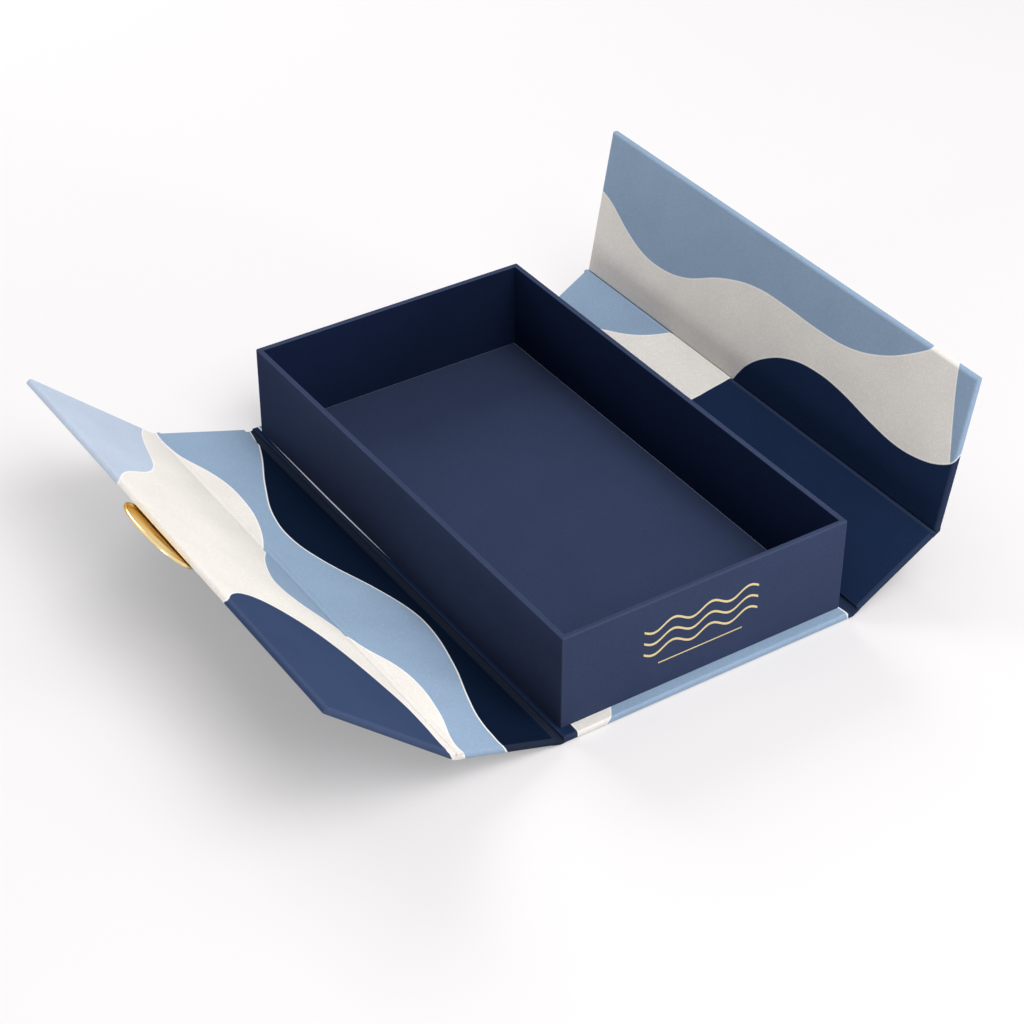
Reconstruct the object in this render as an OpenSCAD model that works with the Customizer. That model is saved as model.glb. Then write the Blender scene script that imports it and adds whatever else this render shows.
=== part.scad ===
// Rigid gift box with two doors. A paper-covered tray stands on a wrap-around case of five
// panels. Each door is a side panel, hinged at the base, and a top panel, hinged at its edge.
// Millimetres. The origin is the centre of the case's underside. +Z is up, +X runs towards
// the right door, and +Y runs along the tray to its far end.

/* [Tray] */
// Length of the tray outside
tray_l = 200; // [160:1:300]
// Width of the tray outside
tray_w = 114; // [90:1:180]
// Height of the tray outside
tray_h = 36.6; // [30:0.1:70]
// Thickness of the tray's grey board
tray_board_t = 1.4; // [1:0.1:2.5]
// Thickness of the covered card on the tray's floor
floor_card_t = 1; // [0.6:0.1:2]
// Gap between the floor card and the walls
floor_card_gap = 0.3; // [0.1:0.1:1]

/* [Papers] */
// Thickness of every covering paper
paper_t = 0.25; // [0.15:0.05:0.35]
// Width of the paper that is turned in over an edge
turn_in = 12; // [8:1:15]
// Border of lining that the outer cover leaves free along the edges
cover_inset = 1.5; // [1:0.5:3]
// Thickness of the paper tape on the tray's corners
tape_t = 0.12; // [0.08:0.02:0.2]
// Width of the tape on each side of a corner
tape_leg = 10; // [6:1:15]
// Height that the tape stays short of the board's edges
tape_short = 1; // [0.5:0.5:3]

/* [Case] */
// Thickness of the case's grey boards
case_board_t = 1.85; // [1.6:0.05:3]
// Length that the case stands past each end of the tray
overhang = 4.2; // [1:0.1:8]
// Gap between the tray's wall and a closed side panel
side_gap = 0.4; // [0.3:0.1:1]
// Gap between the tray's rim and a closed top panel
lid_gap = 0.3; // [0.2:0.1:1]
// Gap between the two free edges with both doors closed
door_gap = 0.8; // [0.4:0.1:2]
// Room between a side panel's ends and the panels that fold against them
fold_clear = 0.35; // [0.2:0.05:0.6]
// Distance from the base panel's edge to the hinge line
base_set = 1.4; // [0.8:0.1:2]
// Distance from a top panel's edge to the fold line
top_set = 0.6; // [0.5:0.1:1]
// Slit between the papers of two panels at a fold line
fold_slit = 0.05; // [0.04:0.01:0.1]

/* [Closure] */
// Length of the half-moon plate along the free edge
plate_l = 40; // [26:1:56]
// Distance that the plate stands past the free edge
plate_reach = 9.6; // [8:0.1:16]
// Thickness of the plate
plate_t = 1; // [0.8:0.1:2]
// Height and width of the plate's stepped rim
plate_step = 0.3; // [0.1:0.1:0.4]
// Gap between the plate and the right door's outer face
plate_lift = 0.1; // [0.05:0.05:0.5]
// Distance between the two rivets
rivet_pitch = 16; // [10:1:20]
// Distance from the rivets to the free edge
rivet_set = 5; // [4:0.5:7]
// Diameter of a rivet's shank
rivet_d = 2.2; // [1.6:0.1:3]
// Diameter of a rivet's heads
rivet_head_d = 4; // [3.4:0.1:5]
// Thickness of a rivet's heads
rivet_head_t = 0.4; // [0.3:0.1:0.6]
// Clearance round a shank or a magnet in its hole
hole_gap = 0.05; // [0.05:0.05:0.15]
// Distance between the two magnets
magnet_pitch = 12; // [10:1:16]
// Distance from the magnets to the free edge
magnet_set = 4.5; // [4:0.5:6]
// Diameter of a magnet
magnet_d = 6; // [4:0.5:7]
// Thickness of a magnet
magnet_t = 1.3; // [0.8:0.1:1.5]

/* [Foil ornament] */
// Length of the ornament's waves
foil_l = 46; // [24:1:60]
// Number of crests in a wave line
foil_crests = 3; // [2:1:6]
// Number of wave lines
foil_rows = 3; // [1:1:3]
// Height of a crest above its line
foil_rise = 1.6; // [0.5:0.1:2]
// Distance between two wave lines
foil_pitch = 4.6; // [3:0.1:5]
// Width of a stamped line
foil_line = 0.9; // [0.5:0.1:1.2]
// Thickness of the foil
foil_t = 0.06; // [0.04:0.01:0.1]
// Length of the straight line below the waves
foil_rule_l = 34; // [16:1:50]
// Height of the straight line above the tray's underside
foil_base = 10.2; // [7:0.1:11]
// Distance from the straight line to the lowest wave line
foil_gap = 5.8; // [3:0.1:7]
// Distance of the ornament from the middle of the wall
foil_shift = -2.3; // [-10:0.1:10]

/* [Pose] */
// Angle of the left side panel above the table
left_side_deg = 18; // [1:1:90]
// Angle of the left top panel to its side panel
left_fold_deg = 24; // [0:1:90]
// Angle of the right side panel above the table
right_side_deg = 31; // [0:1:90]
// Angle of the right top panel to its side panel
right_fold_deg = 49; // [0:1:90]

/* [Hidden] */
$fn = 48;
case_t = case_board_t + 3 * paper_t;
case_l = tray_l + 2 * overhang;
hinge_x = tray_w / 2 + side_gap + case_t;
side_len = tray_h + 2 * case_t + lid_gap;
top_len = hinge_x - door_gap / 2;
side_set = case_t + fold_clear;
board_z = 2 * paper_t;

tray_z = case_t;
rim_z = tray_z + tray_h;
board_inset = paper_t + tape_t;
wall_t = board_inset + tray_board_t + paper_t;
tray_floor_z = tray_z + paper_t + tray_board_t;
tray_floor_l = tray_l - 2 * wall_t;
tray_floor_w = tray_w - 2 * wall_t;

rivet_u = top_len - rivet_set;
rivet_r = rivet_d / 2;
rivet_head_r = rivet_head_d / 2;
rivet_top_z = board_z + case_board_t;
plate_steps = 72;
foil_steps = 12;
foil_rule_t = foil_line / 2;
cut = 1;

navy = [0.15, 0.19, 0.32];
wrap_navy = [0.17, 0.20, 0.33];
blue = [0.58, 0.68, 0.81];
cream = [0.93, 0.91, 0.88];
grey_board = [0.62, 0.59, 0.54];
gilt = [0.80, 0.62, 0.28];
steel = [0.70, 0.70, 0.72];
tape_brown = [0.78, 0.69, 0.54];

// A block centred on Y, from x0 to x1 and from z0 to z1
module slab(x0, x1, l, z0, z1) {
    translate([x0, -l / 2, z0])
        cube([x1 - x0, l, z1 - z0]);
}

// A block centred on X and Y
module centred_block(w, l, z0, z1) {
    slab(-w / 2, w / 2, l, z0, z1);
}

// Runs a profile drawn in X and Z along Y
module run_along_y(l) {
    rotate([90, 0, 0])
        translate([0, 0, -l / 2])
            linear_extrude(l)
                children();
}

// Panel profiles are drawn from the hinge line outwards, with the outer face at z = 0
module place_right_side() {
    translate([hinge_x, 0, 0])
        rotate([0, -right_side_deg, 0])
            children();
}

module place_right_top() {
    place_right_side()
        translate([side_len, 0, 0])
            rotate([0, -right_fold_deg, 0])
                children();
}

module place_left_side() {
    mirror([1, 0, 0])
        translate([hinge_x, 0, 0])
            rotate([0, -left_side_deg, 0])
                children();
}

module place_left_top() {
    place_left_side()
        translate([side_len, 0, 0])
            rotate([0, -left_fold_deg, 0])
                children();
}

// Lining round one board: its inner face, its edges, and the margins turned in behind it.
// At a hinged edge it runs down the board and out along the cover instead.
module lining_body(u0, u1, hinged_high) {
    high_margin = hinged_high ? paper_t : turn_in;
    difference() {
        slab(u0, u1, case_l, paper_t, case_t);
        slab(u0 + paper_t, u1 - paper_t, case_l - 2 * paper_t, board_z, board_z + case_board_t);
        slab(u0 + paper_t, u1 - high_margin, case_l - 2 * turn_in, paper_t - cut, board_z + cut);
    }
}

// Strip of lining from the fold line at u = 0, mitred there, into the paper on a panel's edge
module lining_tongue(reach) {
    end = reach + paper_t / 2;
    run_along_y(case_l)
        polygon([[fold_slit + paper_t, paper_t], [fold_slit + board_z, board_z], [end, board_z],
            [end, paper_t]]);
}

// Outer cover from one end to the other, mitred where an end lies on a fold line
module cover_body(u0, u1, mitre_low, mitre_high) {
    low = mitre_low ? paper_t : 0;
    high = mitre_high ? paper_t : 0;
    run_along_y(case_l - 2 * cover_inset)
        polygon([[u0, 0], [u0 + low, paper_t], [u1 - high, paper_t], [u1, 0]]);
}

module board_body(u0, u1) {
    slab(u0 + paper_t, u1 - paper_t, case_l - 2 * paper_t, board_z, board_z + case_board_t);
}

// Covered tray
module tray_board() {
    w = tray_w - 2 * board_inset;
    l = tray_l - 2 * board_inset;
    color(grey_board)
        difference() {
            centred_block(w, l, tray_z + paper_t, rim_z - paper_t);
            centred_block(w - 2 * tray_board_t, l - 2 * tray_board_t, tray_floor_z, rim_z);
        }
}

module corner_stays() {
    x = tray_w / 2 - paper_t;
    y = tray_l / 2 - paper_t;
    z0 = tray_z + paper_t + tape_short;
    h = tray_h - 2 * paper_t - 2 * tape_short;
    color(tape_brown)
        for (mx = [0, 1], my = [0, 1])
            mirror([mx, 0, 0])
                mirror([0, my, 0])
                    translate([x, y, z0])
                        linear_extrude(h)
                            polygon([[0, 0], [0, -tape_leg], [-tape_t, -tape_leg], [-tape_t, -tape_t],
                                [-tape_leg, -tape_t], [-tape_leg, 0]]);
}

module tray_wrap() {
    w_in = tray_w - 2 * wall_t;
    l_in = tray_l - 2 * wall_t;
    w_board = tray_w - 2 * board_inset - 2 * tray_board_t;
    l_board = tray_l - 2 * board_inset - 2 * tray_board_t;
    color(wrap_navy) {
        difference() {
            centred_block(tray_w, tray_l, tray_z, rim_z);
            centred_block(tray_w - 2 * paper_t, tray_l - 2 * paper_t, tray_z + paper_t, rim_z - paper_t);
            centred_block(tray_w - 2 * turn_in, tray_l - 2 * turn_in, tray_z - cut, tray_z + cut);
            centred_block(w_in, l_in, tray_z + paper_t, rim_z + cut);
        }
        difference() {
            centred_block(w_board, l_board, tray_floor_z, rim_z - paper_t);
            centred_block(w_in, l_in, tray_floor_z - cut, rim_z);
        }
    }
}

module tray_floor_card() {
    color(wrap_navy)
        centred_block(tray_floor_w - 2 * floor_card_gap, tray_floor_l - 2 * floor_card_gap,
            tray_floor_z, tray_floor_z + floor_card_t);
}

function wave_y(x) = foil_rise * sin(360 * foil_crests * x / foil_l);

// One stamped wave line, a ribbon of even height
module wave_line() {
    count = foil_steps * foil_crests;
    xs = [for (i = [0 : count]) foil_l * (i / count - 0.5)];
    polygon(concat(
        [for (x = xs) [x, wave_y(x) + foil_line / 2]],
        [for (i = [count : -1 : 0]) [xs[i], wave_y(xs[i]) - foil_line / 2]]));
}

module foil_emblem() {
    first_row = foil_base + foil_gap;
    color(gilt)
        translate([foil_shift, -tray_l / 2, tray_z])
            rotate([90, 0, 0])
                linear_extrude(foil_t) {
                    translate([-foil_rule_l / 2, foil_base - foil_rule_t / 2])
                        square([foil_rule_l, foil_rule_t]);
                    for (i = [0 : foil_rows - 1])
                        translate([0, first_row + i * foil_pitch])
                            wave_line();
                }
}

// Base panel
module base_board() {
    edge = hinge_x - base_set;
    color(grey_board)
        board_body(-edge, edge);
}

module base_lining() {
    edge = hinge_x - base_set;
    color(blue) {
        difference() {
            slab(-edge, edge, case_l, paper_t, case_t);
            slab(-edge + paper_t, edge - paper_t, case_l - 2 * paper_t, board_z, board_z + case_board_t);
            slab(-edge + paper_t, edge - paper_t, case_l - 2 * turn_in, paper_t - cut, board_z + cut);
        }
        for (m = [0, 1])
            mirror([m, 0, 0])
                translate([hinge_x, 0, 0])
                    mirror([1, 0, 0])
                        lining_tongue(base_set);
    }
}

module base_cover() {
    color(navy)
        cover_body(-hinge_x + fold_slit, hinge_x - fold_slit, true, true);
}

// Side panels, from the hinge line at the base to the fold line
module side_board() {
    color(grey_board)
        board_body(side_set, side_len - side_set);
}

module side_lining() {
    lining_body(side_set, side_len - side_set, true);
    lining_tongue(side_set);
    translate([side_len, 0, 0])
        mirror([1, 0, 0])
            lining_tongue(side_set);
}

module side_cover() {
    color(navy)
        cover_body(fold_slit, side_len - fold_slit, true, true);
}

module left_side_board() {
    place_left_side()
        side_board();
}

module left_side_lining() {
    place_left_side()
        color(blue)
            side_lining();
}

module left_side_cover() {
    place_left_side()
        side_cover();
}

module right_side_board() {
    place_right_side()
        side_board();
}

module right_side_lining() {
    place_right_side()
        color(navy)
            side_lining();
}

module right_side_cover() {
    place_right_side()
        side_cover();
}

// Top panels, from the fold line to the free edge
module top_lining() {
    lining_body(top_set, top_len, false);
    lining_tongue(top_set);
}

module at_rivets() {
    for (y = [-1, 1])
        translate([rivet_u, y * rivet_pitch / 2, 0])
            children();
}

module rivet_holes() {
    at_rivets()
        translate([0, 0, -cut])
            cylinder(r = rivet_r + hole_gap, h = case_t + cut);
}

module at_magnets() {
    for (y = [-1, 1])
        translate([top_len - magnet_set, y * magnet_pitch / 2, board_z])
            children();
}

module left_top_board() {
    place_left_top()
        color(grey_board)
            difference() {
                board_body(top_set, top_len);
                rivet_holes();
                at_rivets()
                    translate([0, 0, rivet_top_z - rivet_head_t])
                        cylinder(r = rivet_head_r + hole_gap, h = rivet_head_t + cut);
            }
}

module left_top_lining() {
    place_left_top()
        color(cream)
            difference() {
                top_lining();
                at_rivets()
                    translate([0, 0, -cut])
                        cylinder(r = rivet_r + hole_gap, h = board_z + cut);
            }
}

module left_top_cover() {
    place_left_top()
        color(navy)
            difference() {
                cover_body(fold_slit, top_len - cover_inset, true, false);
                rivet_holes();
            }
}

module right_top_board() {
    place_right_top()
        color(grey_board)
            difference() {
                board_body(top_set, top_len);
                at_magnets()
                    translate([0, 0, -cut])
                        cylinder(r = magnet_d / 2 + hole_gap, h = magnet_t + cut);
            }
}

module right_top_lining() {
    place_right_top()
        color(blue)
            top_lining();
}

module right_top_cover() {
    place_right_top()
        color(navy)
            cover_body(fold_slit, top_len - cover_inset, true, false);
}

// Oval outline of the clasp, centred on the free edge
module plate_outline(inset) {
    half_l = plate_l / 2 - inset;
    half_w = plate_reach - inset;
    polygon([for (i = [0 : plate_steps - 1])
        let (a = 360 * i / plate_steps) [half_w * cos(a), half_l * sin(a)]]);
}

module clasp_plate() {
    place_left_top()
        color(gilt)
            difference() {
                translate([top_len, 0, -plate_t]) {
                    linear_extrude(plate_step)
                        plate_outline(plate_step);
                    translate([0, 0, plate_step])
                        linear_extrude(plate_t - plate_step)
                            plate_outline(0);
                }
                slab(top_len, top_len + 2 * plate_reach, 2 * plate_l, -plate_lift, cut);
                at_rivets()
                    translate([0, 0, -2 * plate_t])
                        cylinder(r = rivet_r + hole_gap, h = 3 * plate_t);
            }
}

module clasp_rivets() {
    place_left_top()
        color(gilt)
            at_rivets() {
                translate([0, 0, -plate_t - rivet_head_t])
                    cylinder(r = rivet_head_r, h = rivet_head_t);
                translate([0, 0, -plate_t])
                    cylinder(r = rivet_r, h = plate_t + rivet_top_z);
                translate([0, 0, rivet_top_z - rivet_head_t])
                    cylinder(r = rivet_head_r, h = rivet_head_t);
            }
}

module closure_magnets() {
    place_right_top()
        color(steel)
            at_magnets()
                cylinder(d = magnet_d, h = magnet_t);
}

tray_board();
corner_stays();
tray_wrap();
tray_floor_card();
foil_emblem();
base_board();
base_lining();
base_cover();
left_side_board();
left_side_lining();
left_side_cover();
left_top_board();
left_top_lining();
left_top_cover();
right_side_board();
right_side_lining();
right_side_cover();
right_top_board();
right_top_lining();
right_top_cover();
clasp_plate();
clasp_rivets();
closure_magnets();
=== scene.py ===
"""Looks of a rigid gift box with two folding doors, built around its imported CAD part.

The tray and the five case panels are grey board covered with paper. The doors turn on paper
hinges. A printed sheet of wave fields lines the case, and a gilt half-oval plate is the pull.
Sizes are in millimetres where a name says so, and in metres on every Blender object.
"""

import logging
import math
from collections.abc import Callable, Iterator, Sequence
from contextlib import contextmanager
from dataclasses import dataclass
from enum import Enum
from typing import ClassVar

import bmesh
import bpy
from mathutils import Matrix, Vector


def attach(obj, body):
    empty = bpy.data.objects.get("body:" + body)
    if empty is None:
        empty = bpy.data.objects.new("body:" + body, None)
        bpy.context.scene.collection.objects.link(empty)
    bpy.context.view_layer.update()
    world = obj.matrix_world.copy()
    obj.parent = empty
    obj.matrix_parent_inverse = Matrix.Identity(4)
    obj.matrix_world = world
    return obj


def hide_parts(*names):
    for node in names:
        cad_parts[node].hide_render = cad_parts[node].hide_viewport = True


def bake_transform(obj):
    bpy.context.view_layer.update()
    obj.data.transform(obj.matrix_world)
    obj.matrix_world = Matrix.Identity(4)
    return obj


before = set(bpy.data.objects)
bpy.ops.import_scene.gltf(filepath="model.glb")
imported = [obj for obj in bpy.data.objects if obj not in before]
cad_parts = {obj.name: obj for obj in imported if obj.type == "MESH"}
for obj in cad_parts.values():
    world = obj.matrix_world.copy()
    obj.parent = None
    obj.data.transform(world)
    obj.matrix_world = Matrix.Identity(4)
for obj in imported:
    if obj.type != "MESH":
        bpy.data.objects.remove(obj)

LOG = logging.getLogger("gift_box")
MM = 0.001
SHEET = "sheet"
# Point attribute for rounded edges that are painted paler: a painted highlight, partly edge wear.
WORN_LIT_EDGE = "fold"
MIX_A, MIX_B, MIX_RESULT = 6, 7, 2
ROUNDING_STEPS = 4
SAME_PLACE_M = 1e-6
SAME_PLACE_MM = 1e-3
NOISE_SPAN = (0.3, 0.7)
Piece, Material = bpy.types.Object, bpy.types.Material
Tree, Node, Socket = bpy.types.NodeTree, bpy.types.Node, bpy.types.NodeSocket
Part = bmesh.types.BMVert | bmesh.types.BMEdge | bmesh.types.BMFace
Points = Sequence[tuple[float, float]]
Colour = tuple[float, float, float, float]


# ---- sizes


@dataclass(frozen=True)
class BoxSizes:
    """The part's sizes in millimetres, as its source names them."""

    tray_l: float = 200.0
    tray_w: float = 114.0
    tray_h: float = 36.6
    wall_t: float = 2.02
    tray_floor_z: float = 4.25
    floor_card_t: float = 1.0
    floor_card_gap: float = 0.3
    paper_t: float = 0.25
    case_t: float = 2.6
    case_l: float = 208.4
    hinge_x: float = 60.0
    side_len: float = 42.1
    top_len: float = 59.6
    side_set: float = 2.95
    base_set: float = 1.4
    top_set: float = 0.6
    plate_l: float = 40.0
    plate_reach: float = 9.6
    plate_t: float = 1.0
    plate_lift: float = 0.1
    rivet_pitch: float = 16.0
    rivet_set: float = 5.0
    rivet_head_d: float = 4.0
    rivet_head_t: float = 0.4

    @property
    def sheet_half(self) -> float:
        """Way from the middle of the opened case to a free edge."""
        return self.hinge_x + self.side_len + self.top_len

    @property
    def rim_z(self) -> float:
        """Height of the tray's rim."""
        return self.case_t + self.tray_h


class Door(Enum):
    """One of the two doors, with its direction along X."""

    LEFT = -1
    RIGHT = 1

    @property
    def label(self) -> str:
        """The door's name in bodies and nodes."""
        return self.name.lower()

    @property
    def side_deg(self) -> float:
        """Angle of the side panel above the table at rest."""
        return 18.0 if self is Door.LEFT else 31.0

    @property
    def fold_deg(self) -> float:
        """Angle of the top panel to the side panel at rest."""
        return 24.0 if self is Door.LEFT else 49.0


SIZES = BoxSizes()


def turned(door: Door, degrees: float) -> Matrix:
    """Turns a door's panel up from the table.

    Args:
        door: The door that turns.
        degrees: The angle, with the panel's free end going up.

    Returns:
        The rotation about a line along Y through the origin.
    """
    return Matrix.Rotation(-door.value * math.radians(degrees), 4, "Y")


def at_base_fold(door: Door) -> Matrix:
    """Gives the frame of the base panel at a door's hinge line."""
    return Matrix.Translation((door.value * SIZES.hinge_x * MM, 0, 0))


def at_side(door: Door) -> Matrix:
    """Gives the frame of a side panel, whose hinge line is its Y axis."""
    return at_base_fold(door) @ turned(door, door.side_deg)


def at_top_fold(door: Door) -> Matrix:
    """Gives the frame of a side panel at its fold line to the top panel."""
    return at_side(door) @ Matrix.Translation((door.value * SIZES.side_len * MM, 0, 0))


def at_top(door: Door) -> Matrix:
    """Gives the frame of a top panel, whose fold line is its Y axis."""
    return at_top_fold(door) @ turned(door, door.fold_deg)


# ---- hand tools


def deselect_all() -> None:
    """Deselects every object."""
    bpy.ops.object.select_all(action="DESELECT")


def only(piece: Piece) -> None:
    """Makes one piece the only selected object and the active one."""
    deselect_all()
    piece.select_set(True)
    bpy.context.view_layer.objects.active = piece


@contextmanager
def editing(piece: Piece) -> Iterator[None]:
    """Opens one piece in edit mode with nothing selected, and closes it at the end."""
    only(piece)
    bpy.ops.object.mode_set(mode="EDIT")
    bpy.ops.mesh.select_all(action="DESELECT")
    yield
    bpy.ops.object.mode_set(mode="OBJECT")


def pick(piece: Piece, kind: str, test: Callable[[Part], bool]) -> None:
    """Selects parts of the open piece in place of what was selected.

    Args:
        piece: The piece in edit mode.
        kind: VERT, EDGE or FACE.
        test: Says whether a part is wanted.
    """
    bpy.ops.mesh.select_mode(type=kind)
    bpy.ops.mesh.select_all(action="DESELECT")
    mesh = bmesh.from_edit_mesh(piece.data)
    parts = {"VERT": mesh.verts, "EDGE": mesh.edges, "FACE": mesh.faces}[kind]
    for part in [p for p in parts if test(p)]:
        part.select_set(True)
    bmesh.update_edit_mesh(piece.data)


def lies_at(part: Part, axis: int, place: float) -> bool:
    """Says whether a face or an edge lies in the plane at a place on an axis, in metres."""
    return all(abs(v.co[axis] - place) < SAME_PLACE_M for v in part.verts)


def add_block(name: str, low: Sequence[float], high: Sequence[float]) -> Piece:
    """Adds a block between two corners.

    Args:
        name: The piece's name.
        low: The lowest corner in millimetres.
        high: The highest corner in millimetres.

    Returns:
        The piece, its object at the origin.
    """
    low_m, high_m = Vector(low) * MM, Vector(high) * MM
    deselect_all()
    bpy.ops.mesh.primitive_cube_add(
        size=1, location=(low_m + high_m) / 2, scale=high_m - low_m
    )
    piece = bpy.context.object
    piece.name = name
    bpy.ops.object.transform_apply(location=True, rotation=True, scale=True)
    return piece


def round_edges(piece: Piece, radius_mm: Callable[[list[Vector]], float]) -> None:
    """Rounds a piece's edges, each by its own radius.

    Args:
        piece: The piece, in object mode.
        radius_mm: Gives an edge's radius in millimetres, or 0, from its two ends.
    """
    mesh = piece.data
    radii = [radius_mm([mesh.vertices[v].co / MM for v in e.vertices]) for e in mesh.edges]
    weights = mesh.attributes.new("bevel_weight_edge", "FLOAT", "EDGE")
    largest = max(radii)
    for i, radius in enumerate(radii):
        weights.data[i].value = radius / largest
    bevel = piece.modifiers.new("rounding", "BEVEL")
    bevel.limit_method, bevel.width, bevel.segments = "WEIGHT", largest * MM, ROUNDING_STEPS
    only(piece)
    bpy.ops.object.modifier_apply(modifier=bevel.name)
    mesh.attributes.remove(mesh.attributes["bevel_weight_edge"])


def all_at(ends: Sequence[Vector], axis: int, place_mm: float) -> bool:
    """Says whether points lie in the plane at a place on an axis, in millimetres."""
    return all(abs(end[axis] - place_mm) < SAME_PLACE_MM for end in ends)


def mark_worn_lit_edges(piece: Piece, least_deg: float = 16.0, widest_mm: float = 2.0) -> None:
    """Marks the points in the middle of a rounded outer edge, to be painted paler: a painted
    highlight, partly edge wear.

    Args:
        piece: The piece, in its final form.
        least_deg: The least angle between two faces that counts as a rounding's middle.
        widest_mm: The width from which a face counts as flat, so that its points stay unmarked.
    """
    least, widest = math.radians(least_deg), widest_mm * MM
    mesh = bmesh.new()
    mesh.from_mesh(piece.data)
    bent = [
        any(len(e.link_faces) == 2 and e.calc_face_angle_signed() > least for e in v.link_edges)
        for v in mesh.verts
    ]
    flat = [
        any(min(e.calc_length() for e in f.edges) > widest for f in v.link_faces)
        for v in mesh.verts
    ]
    folds = [float(b and not f) for b, f in zip(bent, flat)]
    mesh.free()
    attribute = piece.data.attributes.new(WORN_LIT_EDGE, "FLOAT", "POINT")
    attribute.data.foreach_set("value", folds)


def move_to(piece: Piece, place: Matrix) -> None:
    """Moves a flat-built piece to its place and applies the move to its mesh."""
    piece.matrix_world = place
    only(piece)
    bpy.ops.object.transform_apply(location=True, rotation=True, scale=True)


def finish_mesh(piece: Piece, angle_deg: float = 40.0) -> None:
    """Turns a closed piece's faces outwards and shades its roundings smooth."""
    with editing(piece):
        bpy.ops.mesh.select_all(action="SELECT")
        bpy.ops.mesh.remove_doubles(threshold=1e-7)
        bpy.ops.mesh.normals_make_consistent(inside=False)
    only(piece)
    bpy.ops.object.shade_smooth_by_angle(angle=math.radians(angle_deg))


def dress(piece: Piece, material: Material) -> None:
    """Marks a piece's paler painted edges and gives it its only material."""
    mark_worn_lit_edges(piece)
    piece.data.materials.clear()
    piece.data.materials.append(material)


def mark_sheet(
    piece: Piece, unfold: Callable[[Vector], tuple[float, float]], width_mm: float
) -> None:
    """Writes each point's place on the opened sheet as an attribute.

    Args:
        piece: The piece whose mesh is final.
        unfold: Gives a point's way from the sheet's middle outwards, and its way along the
            sheet, from the point, all in millimetres.
        width_mm: The way that counts as a share of 1 across the sheet.
    """
    attribute = piece.data.attributes.new(SHEET, "FLOAT_VECTOR", "POINT")
    for i, vertex in enumerate(piece.data.vertices):
        point = vertex.co / MM
        out, along = unfold(point)
        attribute.data[i].vector = (out / width_mm, along * 2 / SIZES.case_l, point.z)


# ---- finishes


def linear(hex_colour: str) -> Colour:
    """Turns an sRGB hex colour into Blender's linear colour with full alpha."""
    parts = [int(hex_colour[i : i + 2], 16) / 255 for i in (1, 3, 5)]
    r, g, b = (c / 12.92 if c <= 0.04045 else ((c + 0.055) / 1.055) ** 2.4 for c in parts)
    return r, g, b, 1.0


def add_node(
    tree: Tree, kind: str, inputs: dict | None = None, **settings: object
) -> Node:
    """Adds a node with its settings, values and links.

    Args:
        tree: The node tree.
        kind: The node's type name.
        inputs: Value or linked socket for each input's name or number.
        **settings: The node's own properties.

    Returns:
        The node.
    """
    node = tree.nodes.new(kind)
    for key, value in settings.items():
        setattr(node, key, value)
    for key, value in (inputs or {}).items():
        if isinstance(value, Socket):
            tree.links.new(value, node.inputs[key])
        else:
            node.inputs[key].default_value = value
    return node


def calculate(tree: Tree, operation: str, *values: float | Socket) -> Socket:
    """Adds a Math node and gives its result."""
    return add_node(tree, "ShaderNodeMath", dict(enumerate(values)), operation=operation).outputs[0]


def rescale(
    tree: Tree, value: Socket, span: tuple[float, float], to: tuple[float, float]
) -> Socket:
    """Maps a value from one span to another, held at the ends.

    Args:
        tree: The node tree.
        value: The value.
        span: The span that it comes from.
        to: The span that it goes to.

    Returns:
        The mapped value.
    """
    names = ("Value", "From Min", "From Max", "To Min", "To Max")
    inputs = dict(zip(names, (value, *span, *to)))
    return add_node(tree, "ShaderNodeMapRange", inputs, clamp=True).outputs["Result"]


def mix_colours(
    tree: Tree, factor: float | Socket, a: Colour | Socket, b: Colour | Socket, blend: str = "MIX"
) -> Socket:
    """Mixes two colours, each a socket or a linear colour.

    Args:
        tree: The node tree.
        factor: The share of the second colour.
        a: The first colour.
        b: The second colour.
        blend: Blender's name for the way of mixing.

    Returns:
        The mixed colour.
    """
    inputs = {0: factor, MIX_A: a, MIX_B: b}
    node = add_node(tree, "ShaderNodeMix", inputs, data_type="RGBA", blend_type=blend)
    return node.outputs[MIX_RESULT]


def new_material(name: str) -> tuple[Material, Tree, Node]:
    """Starts a material.

    Args:
        name: The finish's plain name.

    Returns:
        The material, its node tree and its shader.
    """
    material = bpy.data.materials.new(name)
    material.use_nodes = True
    tree = material.node_tree
    tree.nodes.clear()
    shader = add_node(tree, "ShaderNodeBsdfPrincipled")
    add_node(tree, "ShaderNodeOutputMaterial", {"Surface": shader.outputs[0]})
    return material, tree, shader


def noise(
    tree: Tree, place_mm: Socket, size_mm: float, detail: float, warp: float = 0.0
) -> Socket:
    """Adds a noise pattern of a real size.

    Args:
        tree: The node tree.
        place_mm: The point in millimetres.
        size_mm: The size of its largest lumps.
        detail: How many finer octaves it has.
        warp: How far it is distorted.

    Returns:
        The pattern, mostly within NOISE_SPAN.
    """
    inputs = {"Vector": place_mm, "Scale": 1 / size_mm, "Detail": detail, "Distortion": warp}
    return add_node(tree, "ShaderNodeTexNoise", inputs).outputs["Fac"]


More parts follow.
